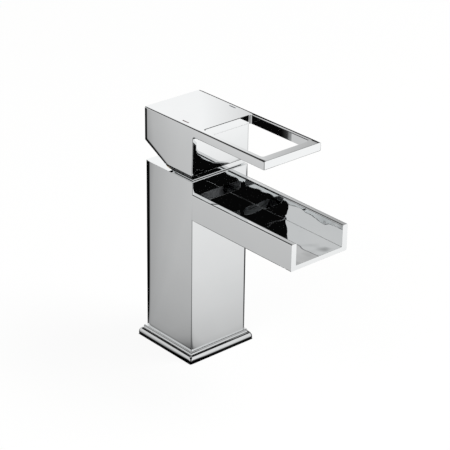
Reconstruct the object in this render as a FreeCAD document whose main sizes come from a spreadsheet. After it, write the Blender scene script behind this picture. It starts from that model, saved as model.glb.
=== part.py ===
import FreeCAD, Part
import math
import os
from types import SimpleNamespace

import Sketcher

# A single-lever basin mixer: square column, open waterfall spout, loop handle, ceramic cartridge.
# Millimetres. The origin is the middle of the foot on the deck, +Z is up, the spout points to -Y.

# Driving dimensions: name, number, meaning.
SIZES = [
    # Column
    ("column_top", 121.0, "top of the column above the deck"),
    ("thread_wall", 3.0, "wall between the nut's thread and the column's flat side"),
    ("column_edge", 0.7, "radius of the column's upright edges"),
    ("foot_wall", 4.0, "wall round the hose space in the foot"),
    ("foot_corner", 4.0, "corner radius of the hose space"),
    ("web_height", 15.0, "metal between the chamber floor and the hose space"),
    ("inlet_offset", 7.75, "hose thread to the middle plane"),
    ("inlet_radius", 4.5, "wall of the M10 x 1 hose thread"),
    ("inlet_depth", 12.0, "depth of the hose thread"),
    ("inlet_overlap", 1.0, "how far the floor ports reach into the hose threads"),
    ("stud_offset", 11.0, "fixing stud behind the axis"),
    ("stud_radius", 3.4, "wall of the M8 stud thread"),
    ("stud_depth", 12.0, "depth of the stud thread"),
    # Flange and gasket
    ("flange_margin", 3.9, "flange beyond the column on each side"),
    ("flange_edge_height", 5.0, "height of the flange's side"),
    ("flange_height", 7.0, "flange's top, where the column stands"),
    ("flange_corner", 1.5, "corner radius of the flange in plan"),
    ("flange_bevel", 1.0, "how far the flange's side leans in"),
    ("flange_bevel_height", 2.0, "height of the leaning part of the flange's side"),
    ("step_margin", 1.2, "step beyond the column on each side"),
    ("step_bevel", 0.7, "bevel from the step to the column"),
    ("spigot_wall", 2.0, "wall of the column's spigot in the flange"),
    ("spigot_lift", 1.0, "spigot's end above the deck"),
    ("spigot_gap", 0.1, "spigot's clearance in the flange"),
    ("gasket_inset", 1.2, "gasket inside the flange's side"),
    ("gasket_width", 2.4, "width of the gasket"),
    ("gasket_height", 2.0, "gasket's height, pressed flush"),
    # Spout
    ("spout_drop", 8.0, "spout's rim below the column's top"),
    ("spout_height", 16.9, "outer height of the trough"),
    ("spout_wall", 3.9, "side wall of the trough"),
    ("spout_floor", 3.0, "floor of the trough"),
    ("spout_length", 85.85, "trough in front of the column"),
    ("spout_inner_radius", 0.6, "rounding between floor and walls"),
    ("spout_edge", 0.6, "rounding of the trough's long edges"),
    ("lug_inset", 1.0, "lugs inside the trough's outer side"),
    ("lug_width", 2.0, "width of the trough's lugs"),
    ("lug_height", 8.0, "height of the trough's lugs"),
    ("lug_depth", 5.0, "depth of the lugs in the column"),
    ("lug_gap", 0.05, "lugs' clearance for solder"),
    ("outlet_drop", 1.0, "outlet slot below the rim"),
    ("outlet_margin", 1.7, "outlet slot inside the trough's walls"),
    ("outlet_height", 6.0, "height of the outlet slot"),
    ("outlet_flat", 0.2, "straight part of the slot's ends"),
    # Cartridge, from the lever's ball outwards
    ("ball_radius", 2.4, "ball of the stem"),
    ("socket_gap", 0.2, "ball's clearance in its socket"),
    ("socket_wall", 1.0, "wall of the carrier's boss"),
    ("boss_play", 0.3, "boss and stem in the guide's slot"),
    ("guide_radius", 10.45, "barrel of the rotary guide"),
    ("running_gap", 0.05, "running clearance of round pieces"),
    ("neck_wall", 2.5, "wall of the housing's neck"),
    ("nut_gap", 0.4, "nut round the neck"),
    ("nut_ring", 5.55, "width of the nut's ring"),
    ("thread_gap", 0.05, "nut in its thread"),
    ("thread_step", 0.8, "thread beyond the chamber's wall"),
    ("housing_gap", 0.2, "housing's collar in the chamber"),
    ("annulus", 1.7, "water space round the housing"),
    ("housing_wall", 2.0, "wall of the housing"),
    ("disc_gap", 0.2, "fixed disc in the housing"),
    ("guide_flange_gap", 1.0, "guide's flange in the housing"),
    ("carrier_gap", 1.8, "carrier in the housing at the end of its travel"),
    ("disc_margin", 1.0, "moving disc inside the carrier's edge"),
    # Cartridge, from the chamber floor upwards
    ("base_height", 7.0, "cartridge base"),
    ("fixed_disc_height", 3.5, "fixed disc"),
    ("disc_film", 0.05, "water film between the discs"),
    ("moving_disc_height", 3.5, "moving disc"),
    ("carrier_height", 4.5, "carrier's plate"),
    ("carrier_clear", 0.3, "carrier under the guide"),
    ("guide_flange_height", 2.5, "guide's flange"),
    ("guide_play", 0.2, "guide's flange under the housing's roof"),
    ("housing_roof", 5.45, "housing's roof, up to the shoulder"),
    ("nut_height", 4.6, "nut"),
    ("nut_drop", 0.4, "nut below the column's top"),
    ("neck_height", 16.0, "neck above the shoulder"),
    ("guide_drop", 0.4, "guide below the neck's top"),
    ("cover_gap", 0.15, "cover round the neck"),
    ("cover_wall", 1.2, "wall of the cover's collar"),
    ("cover_inset", 1.0, "cover's rim inside the thread"),
    ("cover_rim", 1.0, "height of the cover's rim"),
    ("cover_slope", 3.0, "height of the slope from rim to collar"),
    ("cover_bevel", 0.6, "bevel of the collar's top"),
    # Cartridge details
    ("collar_height", 3.8, "housing's collar under the shoulder"),
    ("ring_section", 1.5, "section of the housing's ring"),
    ("ring_groove", 1.9, "height of the ring's groove"),
    ("ring_drop", 1.1, "groove below the shoulder"),
    ("ring_squeeze", 0.02, "ring's clearance in its groove"),
    ("ring_flat", 0.6, "flats that the groove presses on the ring"),
    ("notch_count", 6, "spanner notches in the nut"),
    ("notch_width", 4.0, "width of a notch"),
    ("notch_depth", 2.0, "depth of a notch"),
    ("port_side", 4.6, "inlet port to the middle plane"),
    ("port_front", 2.6, "inlet port in front of the axis"),
    ("port_radius", 2.2, "inlet port"),
    ("outlet_back", 4.0, "outlet port behind the axis"),
    ("outlet_radius", 2.6, "outlet port"),
    ("seal_lip", 0.1, "seal beyond its port"),
    ("seal_width", 1.2, "width of a port seal"),
    ("seal_height", 1.8, "height of a port seal"),
    ("window_half", 5.0, "half width of the base's side window"),
    ("window_floor", 2.5, "floor under the side window"),
    ("window_height", 2.2, "height of the side window"),
    ("peg_side", 11.0, "locating peg to the middle plane"),
    ("peg_back", 6.0, "locating peg behind the axis"),
    ("peg_radius", 1.5, "locating peg"),
    ("peg_length", 3.0, "locating peg under the base"),
    ("peg_gap", 0.1, "peg in its hole"),
    ("recess_half", 6.5, "half width of the mixing recess"),
    ("recess_length", 7.5, "length of the mixing recess"),
    ("recess_depth", 1.8, "depth of the mixing recess"),
    ("recess_land", 0.9, "sealing land between inlets and recess"),
    ("key_half", 5.5, "half width of the carrier's key"),
    ("key_length", 14.0, "length of the carrier's key"),
    ("key_height", 1.7, "height of the carrier's key"),
    ("key_gap", 0.1, "key in the guide's channel"),
    ("carrier_seal_radius", 6.0, "inside of the carrier's seal"),
    ("carrier_seal_width", 1.5, "width of the carrier's seal"),
    ("carrier_seal_height", 1.2, "height of the carrier's seal"),
    # Lever
    ("pivot_drop", 5.0, "lever's pivot below the neck's top"),
    ("lift_angle", 25.0, "lift of the lever, in degrees"),
    ("ball_arm", 10.5, "ball below the pivot"),
    ("socket_rise", 1.5, "carrier's boss above the ball's middle"),
    ("socket_floor", 0.6, "socket below the ball"),
    ("arm_radius", 1.8, "stem's arm above the ball"),
    ("stem_half_depth", 4.0, "half depth of the stem's bar"),
    ("bar_drop", 5.4, "stem's bar below the pivot"),
    ("pin_radius", 1.5, "pivot pin"),
    ("pin_end", 0.3, "pin's ends inside the guide"),
    ("pin_fit", 0.02, "pin in the guide"),
    # Handle
    ("handle_gap", 0.35, "handle over the column"),
    ("handle_overhang", 0.1, "handle beyond the column's sides"),
    ("handle_back", 0.7, "handle beyond the column's back"),
    ("lip_height", 3.35, "lip under the block"),
    ("lip_inset", 0.9, "lip inside the block's sides"),
    ("lip_front_inset", 1.5, "lip behind the block's front"),
    ("block_height", 30.9, "handle's block"),
    ("slant_start", 4.0, "start of the slanted back behind the axis"),
    ("slant_rise", 9.3, "rise of the slanted back"),
    ("lever_thickness", 5.45, "loop's thickness"),
    ("lever_length", 61.8, "loop in front of the block"),
    ("side_bar", 3.9, "loop's side bars"),
    ("front_bar", 5.8, "loop's front bar"),
    ("rear_bar", 5.4, "loop's ledge in front of the block"),
    ("loop_corner", 1.5, "inner corners of the loop"),
    ("loop_bevel", 0.6, "bevel of the loop's inner edge"),
    ("root_radius", 1.5, "fillet under the loop's root"),
    ("handle_edge", 0.8, "rounding of the handle's outer edges"),
    ("handle_wall", 3.5, "wall of the hollow block"),
    ("handle_roof", 4.0, "roof of the hollow block"),
    ("tilt_clearance", 1.5, "stem's boss over the cover when tilted"),
    ("stem_boss_wall", 3.5, "wall round the stem's socket"),
    ("stem_fit", 0.05, "stem in its socket"),
    ("stem_end", 1.8, "stem's end below the roof"),
    ("screw_radius", 2.5, "M5 grub screw"),
    ("screw_length", 8.0, "grub screw"),
    ("screw_fit", 0.02, "grub screw in its thread"),
    ("hex_key", 2.5, "key of the grub screw, across flats"),
    ("hex_depth", 2.5, "depth of the grub screw's socket"),
    ("plug_radius", 3.4, "plug over the grub screw"),
    ("plug_depth", 3.0, "depth of the plug"),
    ("plug_fit", 0.05, "plug in its seat"),
    ("mark_length", 5.6, "hot and cold marks"),
    ("mark_width", 0.9, "width of the marks"),
    ("mark_depth", 0.4, "depth of the inlay"),
    ("mark_side", 3.85, "marks inside the block's sides"),
    ("mark_front", 7.9, "marks behind the block's front"),
]

FULL_TURN = 360.0

doc = FreeCAD.newDocument("basin_mixer")
sheet = doc.addObject("Spreadsheet::Sheet", "Sizes")
for row, (alias, number, meaning) in enumerate(SIZES, start=1):
    sheet.set(f"A{row}", alias)
    sheet.set(f"B{row}", str(number))
    sheet.set(f"C{row}", meaning)
    sheet.setAlias(f"B{row}", alias)
doc.recompute()


class Size:
    """A length that carries its formula over the sheet and its value at present."""

    def __init__(self, formula, value):
        self.formula = formula
        self.value = value

    def __add__(self, other):
        other = as_size(other)
        return Size(f"({self.formula} + {other.formula})", self.value + other.value)

    def __sub__(self, other):
        other = as_size(other)
        return Size(f"({self.formula} - {other.formula})", self.value - other.value)

    def __mul__(self, other):
        other = as_size(other)
        return Size(f"({self.formula} * {other.formula})", self.value * other.value)

    def __truediv__(self, other):
        other = as_size(other)
        return Size(f"({self.formula} / {other.formula})", self.value / other.value)

    def __neg__(self):
        return Size(f"(0 - {self.formula})", -self.value)


def as_size(number):
    """A Size stays as it is; a plain number becomes one."""
    if isinstance(number, Size):
        return number
    return Size(str(number), float(number))


def sine(angle):
    return Size(f"sin({angle.formula} * 1 deg)", math.sin(math.radians(angle.value)))


def cosine(angle):
    return Size(f"cos({angle.formula} * 1 deg)", math.cos(math.radians(angle.value)))


s = SimpleNamespace(**{alias: Size(f"Sizes.{alias}", float(number)) for alias, number, meaning in SIZES})
ZERO = as_size(0)

# Radii and half widths, from the ball outwards.
boss_radius = s.ball_radius + s.socket_gap + s.socket_wall
guide_slot_half = boss_radius + s.boss_play
neck_bore = s.guide_radius + s.running_gap
neck_radius = neck_bore + s.neck_wall
cover_radius = neck_radius + s.cover_gap + s.cover_wall
nut_hole = neck_radius + s.nut_gap
nut_radius = nut_hole + s.nut_ring
thread_radius = nut_radius + s.thread_gap
chamber_radius = thread_radius - s.thread_step
collar_radius = chamber_radius - s.housing_gap
housing_radius = chamber_radius - s.annulus
housing_bore = housing_radius - s.housing_wall
column_half = thread_radius + s.thread_wall
cavity_half = column_half - s.foot_wall
spigot_half = cavity_half + s.spigot_wall

# Levels, from the column's top downwards and upwards.
shoulder = s.column_top - s.nut_drop - s.nut_height
roof_under = shoulder - s.housing_roof
guide_flange_top = roof_under - s.guide_play
guide_bottom = guide_flange_top - s.guide_flange_height
carrier_top = guide_bottom - s.carrier_clear
carrier_bottom = carrier_top - s.carrier_height
moving_disc_bottom = carrier_bottom - s.moving_disc_height
fixed_disc_top = moving_disc_bottom - s.disc_film
base_top = fixed_disc_top - s.fixed_disc_height
chamber_floor = base_top - s.base_height
web_bottom = chamber_floor - s.web_height
neck_top = shoulder + s.neck_height
pivot_level = neck_top - s.pivot_drop
ball_level = pivot_level - s.ball_arm
rim_level = s.column_top - s.spout_drop

# The ball's travel when the lever lifts, which the moving disc follows. Closed, the disc stands half
# of it behind the axis.
travel = s.ball_arm * sine(s.lift_angle)
disc_rest = travel / 2


# Helpers: each binds an object's sizes to the sheet by formulas.
def bind(item, name, size):
    item.setExpression(name, as_size(size).formula)


def move(item, x=ZERO, y=ZERO, z=ZERO):
    bind(item, "Placement.Base.x", x)
    bind(item, "Placement.Base.y", y)
    bind(item, "Placement.Base.z", z)
    return item


def box(name, x, y, z):
    """A block between the low and high values of each axis."""
    item = doc.addObject("Part::Box", name)
    bind(item, "Length", x[1] - x[0])
    bind(item, "Width", y[1] - y[0])
    bind(item, "Height", z[1] - z[0])
    return move(item, x[0], y[0], z[0])


def cylinder(name, radius, bottom, top, x=ZERO, y=ZERO):
    """An upright cylinder."""
    item = doc.addObject("Part::Cylinder", name)
    bind(item, "Radius", radius)
    bind(item, "Height", top - bottom)
    return move(item, x, y, bottom)


def cross_cylinder(name, radius, half, z):
    """A cylinder along X, centred on the middle plane."""
    item = doc.addObject("Part::Cylinder", name)
    item.Placement = FreeCAD.Placement(FreeCAD.Vector(), FreeCAD.Rotation(FreeCAD.Vector(0, 1, 0), 90))
    bind(item, "Radius", radius)
    bind(item, "Height", half * 2)
    return move(item, x=-half, z=z)


def fuse(name, pieces):
    item = doc.addObject("Part::MultiFuse", name)
    item.Shapes = pieces
    return item


def cut(name, base, tools):
    item = doc.addObject("Part::Cut", name)
    item.Base = base
    item.Tool = tools[0] if len(tools) == 1 else fuse(f"{name}_tools", tools)
    return item


def ring(name, inner, outer, height, x=ZERO, y=ZERO):
    """A flat-sided ring standing on its own zero level."""
    whole = cylinder(f"{name}_outside", outer, ZERO, height, x, y)
    hole = cylinder(f"{name}_inside", inner, ZERO, height, x, y)
    return cut(name, whole, [hole])


def new_body(node):
    return doc.addObject("PartDesign::Body", node)


def sketch(body, name, plane, offset=ZERO):
    """A sketch on one of the body's own origin planes, moved along the plane's normal."""
    item = body.newObject("Sketcher::SketchObject", name)
    support = [feature for feature in body.Origin.OriginFeatures if feature.Role == plane]
    item.AttachmentSupport = [(support[0], "")]
    item.MapMode = "FlatFace"
    bind(item, "AttachmentOffset.Base.z", offset)
    return item


def tie(item, kind, geometry, point, size):
    """Fixes one coordinate of a point, measured from the sketch's origin."""
    index = item.addConstraint(Sketcher.Constraint(kind, -1, 1, geometry, point, size.value))
    bind(item, f"Constraints[{index}]", size)


def outline(item, corners):
    """A closed polygon whose corners are tied to the sheet."""
    first = item.GeometryCount
    count = len(corners)
    points = [FreeCAD.Vector(across.value, up.value, 0) for across, up in corners]
    for start, end in zip(points, points[1:] + points[:1]):
        item.addGeometry(Part.LineSegment(start, end))
    for index in range(count):
        following = first + (index + 1) % count
        item.addConstraint(Sketcher.Constraint("Coincident", first + index, 2, following, 1))
    for index, (across, up) in enumerate(corners):
        tie(item, "DistanceX", first + index, 1, across)
        tie(item, "DistanceY", first + index, 1, up)
    return item


def rectangle(item, across, up):
    """A rectangle between the low and high values of the sketch's two axes."""
    low, high = across
    bottom, top = up
    return outline(item, [(low, bottom), (high, bottom), (high, top), (low, top)])


def square(item, half):
    return rectangle(item, (-half, half), (-half, half))


def circle(item, radius, across=ZERO, up=ZERO):
    centre = FreeCAD.Vector(across.value, up.value, 0)
    index = item.addGeometry(Part.Circle(centre, FreeCAD.Vector(0, 0, 1), radius.value))
    size = item.addConstraint(Sketcher.Constraint("Radius", index, radius.value))
    bind(item, f"Constraints[{size}]", radius)
    tie(item, "DistanceX", index, 3, across)
    tie(item, "DistanceY", index, 3, up)
    return item


def pad(body, profile, length, reverse=False, symmetric=False):
    item = body.newObject("PartDesign::Pad", f"{profile.Name}_pad")
    item.Profile = profile
    item.Reversed = reverse
    if symmetric:
        item.SideType = "Symmetric"
    bind(item, "Length", length)
    doc.recompute()
    return item


def pocket(body, profile, depth, reverse=False):
    """Cuts along the sketch's normal backwards, or forwards when reversed, and makes sure it cut."""
    before = body.Shape.Volume
    item = body.newObject("PartDesign::Pocket", f"{profile.Name}_pocket")
    item.Profile = profile
    item.Reversed = reverse
    bind(item, "Length", depth)
    doc.recompute()
    if body.Shape.Volume >= before:
        raise ValueError(f"{profile.Name} cuts nothing")
    return item


def revolve(body, profile, kind):
    """A full turn of the sketch about its upright axis: Revolution adds, Groove cuts."""
    item = body.newObject(f"PartDesign::{kind}", f"{profile.Name}_turned")
    item.Profile = profile
    item.ReferenceAxis = (profile, ["V_Axis"])
    item.Angle = FULL_TURN
    doc.recompute()
    return item


def soften(body, name, kind, size, chosen, second=None):
    """A Fillet or Chamfer on the edges of the body that the test picks. A second size is the Chamfer's
    width on the other face."""
    base = body.Tip
    edges = [f"Edge{n}" for n, edge in enumerate(base.Shape.Edges, start=1) if chosen(edge)]
    item = body.newObject(f"PartDesign::{kind}", name)
    item.Base = (base, edges)
    bind(item, "Radius" if kind == "Fillet" else "Size", size)
    if second:
        item.ChamferType = "Two distances"
        bind(item, "Size2", second)
    doc.recompute()
    return item


def runs_along(edge, axis):
    """Whether an edge is straight and parallel to the axis x, y or z."""
    if not isinstance(edge.Curve, Part.Line):
        return False
    ends = [vertex.Point for vertex in edge.Vertexes]
    others = [name for name in "xyz" if name != axis]
    return all(near(getattr(ends[0], name), getattr(ends[1], name)) for name in others)


def near(first, second):
    return abs(first - second) < FreeCAD.Base.Precision.confusion() * 100


def at(edge, **place):
    """Whether an edge's middle lies at the given coordinates, on either side of the origin."""
    middle = edge.CenterOfMass
    return all(near(abs(getattr(middle, name)), abs(size.value)) for name, size in place.items())


# The column: a square brass casting with the cartridge chamber on top and the hose space below.
def make_mixer_body():
    body = new_body("mixer_body")
    pad(body, square(sketch(body, "column", "XY_Plane", s.flange_height), column_half),
        s.column_top - s.flange_height)
    soften(body, "column_edges", "Fillet", s.column_edge, lambda edge: runs_along(edge, "z"))
    spigot = square(sketch(body, "spigot", "XY_Plane", s.spigot_lift), spigot_half)
    pad(body, spigot, s.flange_height - s.spigot_lift)
    hose_space = square(sketch(body, "hose_space", "XY_Plane", s.spigot_lift), cavity_half)
    pocket(body, hose_space, web_bottom - s.spigot_lift, reverse=True)
    soften(body, "hose_space_corners", "Fillet", s.foot_corner,
           lambda edge: runs_along(edge, "z") and at(edge, x=cavity_half, y=cavity_half))

    thread_bottom = shoulder - s.ring_drop + s.ring_squeeze
    chamber = outline(sketch(body, "chamber", "XZ_Plane"), [
        (ZERO, chamber_floor),
        (chamber_radius, chamber_floor),
        (chamber_radius, thread_bottom),
        (thread_radius, thread_bottom),
        (thread_radius, s.column_top),
        (ZERO, s.column_top),
    ])
    revolve(body, chamber, "Groove")

    floor_ports = sketch(body, "floor_ports", "XY_Plane", chamber_floor)
    hose_threads = sketch(body, "hose_threads", "XY_Plane", web_bottom)
    peg_holes = sketch(body, "peg_holes", "XY_Plane", chamber_floor)
    for side in (1, -1):
        circle(floor_ports, s.port_radius, s.port_side * side, -s.port_front)
        circle(hose_threads, s.inlet_radius, s.inlet_offset * side, -s.port_front)
        circle(peg_holes, s.peg_radius + s.peg_gap, s.peg_side * side, s.peg_back)
    pocket(body, floor_ports, s.web_height - s.inlet_depth + s.inlet_overlap)
    pocket(body, hose_threads, s.inlet_depth, reverse=True)
    pocket(body, peg_holes, s.peg_length + s.peg_gap)
    stud_thread = sketch(body, "stud_thread", "XY_Plane", web_bottom)
    circle(stud_thread, s.stud_radius, ZERO, s.stud_offset)
    pocket(body, stud_thread, s.stud_depth, reverse=True)

    # The outlet slot in the front wall, above the floor of the trough.
    slot_half = column_half - s.spout_wall - s.outlet_margin
    slot_top = rim_level - s.outlet_drop
    slot_bottom = slot_top - s.outlet_height
    outlet = sketch(body, "outlet", "XZ_Plane", column_half)
    pocket(body, rectangle(outlet, (-slot_half, slot_half), (slot_bottom, slot_top)), column_half)
    soften(body, "outlet_corners", "Fillet", (s.outlet_height - s.outlet_flat) / 2,
           lambda edge: runs_along(edge, "y") and (at(edge, x=slot_half, z=slot_top)
                                                   or at(edge, x=slot_half, z=slot_bottom)))
    lug_holes = sketch(body, "lug_holes", "XZ_Plane", column_half)
    draw_lugs(lug_holes, s.lug_gap)
    pocket(body, lug_holes, s.lug_depth + s.lug_gap)
    return body


def draw_lugs(item, gap):
    """The two lugs of the trough, or their holes with a clearance."""
    outer = column_half - s.lug_inset + gap
    inner = column_half - s.lug_inset - s.lug_width - gap
    middle = rim_level - s.spout_height / 2
    levels = (middle - s.lug_height / 2 - gap, middle + s.lug_height / 2 + gap)
    rectangle(item, (inner, outer), levels)
    rectangle(item, (-outer, -inner), levels)


# The open trough that lets the water fall: a U section soldered to the column by two lugs.
def make_spout_trough():
    body = new_body("spout_trough")
    bottom = rim_level - s.spout_height
    floor = bottom + s.spout_floor
    inner = column_half - s.spout_wall
    section = outline(sketch(body, "section", "XZ_Plane", column_half), [
        (-column_half, bottom),
        (column_half, bottom),
        (column_half, rim_level),
        (inner, rim_level),
        (inner, floor),
        (-inner, floor),
        (-inner, rim_level),
        (-column_half, rim_level),
    ])
    pad(body, section, s.spout_length)
    soften(body, "inner_corners", "Fillet", s.spout_inner_radius,
           lambda edge: runs_along(edge, "y") and at(edge, x=inner, z=floor))
    soften(body, "long_edges", "Fillet", s.spout_edge,
           lambda edge: runs_along(edge, "y") and (at(edge, x=column_half) or at(edge, z=rim_level)))
    lugs = sketch(body, "lugs", "XZ_Plane", column_half)
    draw_lugs(lugs, ZERO)
    pad(body, lugs, s.lug_depth, reverse=True)
    return body


# The stepped plate round the foot. The column stands on it, and its spigot goes through it.
def make_base_flange():
    body = new_body("base_flange")
    flange_half = column_half + s.flange_margin
    step_half = column_half + s.step_margin
    pad(body, square(sketch(body, "plate", "XY_Plane"), flange_half), s.flange_edge_height)
    soften(body, "plate_corners", "Fillet", s.flange_corner, lambda edge: runs_along(edge, "z"))
    soften(body, "plate_edge", "Chamfer", s.flange_bevel_height,
           lambda edge: at(edge, z=s.flange_edge_height), s.flange_bevel)
    step = square(sketch(body, "step", "XY_Plane", s.flange_edge_height), step_half)
    pad(body, step, s.flange_height - s.flange_edge_height)
    soften(body, "step_edge", "Chamfer", s.step_bevel, lambda edge: at(edge, z=s.flange_height))
    opening = square(sketch(body, "opening", "XY_Plane"), spigot_half + s.spigot_gap)
    pocket(body, opening, s.flange_height, reverse=True)
    groove = sketch(body, "gasket_groove", "XY_Plane")
    square(groove, flange_half - s.gasket_inset)
    square(groove, flange_half - s.gasket_inset - s.gasket_width)
    pocket(body, groove, s.gasket_height, reverse=True)
    return body


# The rubber gasket in the flange's underside.
def make_base_gasket():
    outer = column_half + s.flange_margin - s.gasket_inset
    inner = outer - s.gasket_width
    whole = box("gasket_outside", (-outer, outer), (-outer, outer), (ZERO, s.gasket_height))
    hole = box("gasket_inside", (-inner, inner), (-inner, inner), (ZERO, s.gasket_height))
    return cut("base_gasket", whole, [hole])


# The cartridge's foot: ports, seats for the seals, a side window for the mixed water, two pegs.
def make_cartridge_base():
    top = s.base_height
    seat_floor = top - s.seal_height
    plate = cylinder("base_plate", housing_radius, ZERO, top)
    pegs = []
    tools = []
    for side, word in ((1, "right"), (-1, "left")):
        x = s.port_side * side
        y = -s.port_front
        peg_x = s.peg_side * side
        pegs.append(cylinder(f"peg_{word}", s.peg_radius, -s.peg_length, ZERO, peg_x, s.peg_back))
        tools.append(cylinder(f"port_{word}", s.port_radius, ZERO, top, x, y))
        seat = s.port_radius + s.seal_lip + s.seal_width
        tools.append(cylinder(f"lower_seat_{word}", seat, ZERO, s.seal_height, x, y))
        tools.append(cylinder(f"upper_seat_{word}", seat, seat_floor, top, x, y))
    seat = s.outlet_radius + s.seal_lip + s.seal_width
    tools.append(cylinder("outlet_seat", seat, seat_floor, top, ZERO, s.outlet_back))
    tools.append(cylinder("outlet_port", s.outlet_radius, s.window_floor, top, ZERO, s.outlet_back))
    tools.append(box("window", (-s.window_half, s.window_half), (s.outlet_back, housing_radius),
                     (s.window_floor, s.window_floor + s.window_height)))
    return move(cut("cartridge_base", fuse("base_with_pegs", [plate] + pegs), tools), z=chamber_floor)


def port_ring(name, side):
    inner = s.port_radius + s.seal_lip
    return ring(name, inner, inner + s.seal_width, s.seal_height, s.port_side * side, -s.port_front)


# Rubber rings between the cartridge and the chamber's floor.
def make_port_seals():
    rings = [port_ring("port_seal_right", 1), port_ring("port_seal_left", -1)]
    return move(fuse("port_seals", rings), z=chamber_floor)


# Rubber rings between the base and the fixed disc.
def make_disc_seals():
    inner = s.outlet_radius + s.seal_lip
    outlet = ring("outlet_seal", inner, inner + s.seal_width, s.seal_height, ZERO, s.outlet_back)
    rings = [port_ring("disc_seal_right", 1), port_ring("disc_seal_left", -1), outlet]
    return move(fuse("disc_seals", rings), z=base_top - s.seal_height)


# The lower ceramic disc, with two inlets and the outlet.
def make_fixed_disc():
    disc = cylinder("fixed_blank", housing_bore - s.disc_gap, ZERO, s.fixed_disc_height)
    holes = [
        cylinder("inlet_right", s.port_radius, ZERO, s.fixed_disc_height, s.port_side, -s.port_front),
        cylinder("inlet_left", s.port_radius, ZERO, s.fixed_disc_height, -s.port_side, -s.port_front),
        cylinder("disc_outlet", s.outlet_radius, ZERO, s.fixed_disc_height, ZERO, s.outlet_back),
    ]
    return move(cut("fixed_disc", disc, holes), z=base_top)


# The housing: a stepped turning whose collar carries the ring, with the neck above the shoulder.
def make_cartridge_housing():
    body = new_body("cartridge_housing")
    groove_radius = chamber_radius - s.ring_section
    collar_bottom = shoulder - s.collar_height - base_top
    groove_top = shoulder - s.ring_drop - base_top
    groove_bottom = groove_top - s.ring_groove
    top = shoulder - base_top
    roof = roof_under - base_top
    profile = outline(sketch(body, "housing_profile", "XZ_Plane"), [
        (housing_bore, ZERO),
        (housing_radius, ZERO),
        (housing_radius, collar_bottom),
        (collar_radius, collar_bottom),
        (collar_radius, groove_bottom),
        (groove_radius, groove_bottom),
        (groove_radius, groove_top),
        (collar_radius, groove_top),
        (collar_radius, top),
        (neck_radius, top),
        (neck_radius, top + s.neck_height),
        (neck_bore, top + s.neck_height),
        (neck_bore, roof),
        (housing_bore, roof),
    ])
    revolve(body, profile, "Revolution")
    return move(body, z=base_top)


# The ring that seals the housing in the chamber, above the outlet slot. The groove presses flats on
# its round section, so it is drawn with eight sides.
def make_housing_o_ring():
    body = new_body("housing_o_ring")
    half = s.ring_section / 2 - s.ring_squeeze
    flat = s.ring_flat / 2
    middle = chamber_radius - s.ring_section / 2
    section = outline(sketch(body, "ring_profile", "XZ_Plane"), [
        (middle - flat, -half),
        (middle + flat, -half),
        (middle + half, -flat),
        (middle + half, flat),
        (middle + flat, half),
        (middle - flat, half),
        (middle - half, flat),
        (middle - half, -flat),
    ])
    revolve(body, section, "Revolution")
    return move(body, z=shoulder - s.ring_drop - s.ring_groove / 2)


# The brass nut that holds the cartridge down, with notches for a pin spanner.
def make_retaining_nut():
    body = new_body("retaining_nut")
    plan = sketch(body, "nut_plan", "XY_Plane")
    circle(plan, nut_radius)
    circle(plan, nut_hole)
    pad(body, plan, s.nut_height)
    notch = sketch(body, "notch", "XY_Plane", s.nut_height)
    half = s.notch_width / 2
    rectangle(notch, (-half, half), (nut_hole + s.nut_ring / 2, nut_radius + s.nut_ring))
    first = pocket(body, notch, s.notch_depth)
    pattern = body.newObject("PartDesign::PolarPattern", "notches")
    pattern.Originals = [first]
    pattern.Axis = (notch, ["N_Axis"])
    pattern.Angle = FULL_TURN
    bind(pattern, "Occurrences", s.notch_count)
    body.Tip = pattern
    return move(body, z=shoulder)


# The chromed cover that hides the nut and the neck under the handle's raised back.
def make_cartridge_cover():
    body = new_body("cartridge_cover")
    bore = neck_radius + s.cover_gap
    rim = thread_radius - s.cover_inset
    top = neck_top - shoulder - s.nut_height
    profile = outline(sketch(body, "cover_profile", "XZ_Plane"), [
        (bore, ZERO),
        (rim, ZERO),
        (rim, s.cover_rim),
        (cover_radius, s.cover_rim + s.cover_slope),
        (cover_radius, top - s.cover_bevel),
        (cover_radius - s.cover_bevel, top),
        (bore, top),
    ])
    revolve(body, profile, "Revolution")
    return move(body, z=shoulder + s.nut_height)


# The guide that turns in the neck. Its slot takes the stem, its channel keys the disc carrier.
def make_rotary_guide():
    height = neck_top - s.guide_drop - guide_bottom
    barrel = cylinder("guide_barrel", s.guide_radius, ZERO, height)
    flange_radius = housing_bore - s.guide_flange_gap
    flange = cylinder("guide_flange", flange_radius, ZERO, s.guide_flange_height)
    rise = s.pivot_drop - s.guide_drop
    back = (s.stem_half_depth + rise * sine(s.lift_angle)) / cosine(s.lift_angle) + s.boss_play
    front = boss_radius + travel + s.boss_play
    slot = box("stem_slot", (-guide_slot_half, guide_slot_half), (-front, back), (ZERO, height))
    key_half = s.key_half + s.key_gap
    key_depth = s.key_height - s.carrier_clear + s.key_gap
    channel = box("key_channel", (-key_half, key_half), (-flange_radius, flange_radius), (ZERO, key_depth))
    pin_level = pivot_level - guide_bottom
    pin_hole = cross_cylinder("guide_pin_hole", s.pin_radius + s.pin_fit, s.guide_radius, pin_level)
    blank = fuse("guide_blank", [barrel, flange])
    return move(cut("rotary_guide", blank, [slot, channel, pin_hole]), z=guide_bottom)


# The cross pin that the lever tilts on.
def make_pivot_pin():
    return cross_cylinder("pivot_pin", s.pin_radius, s.guide_radius - s.pin_end, pivot_level)


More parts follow.
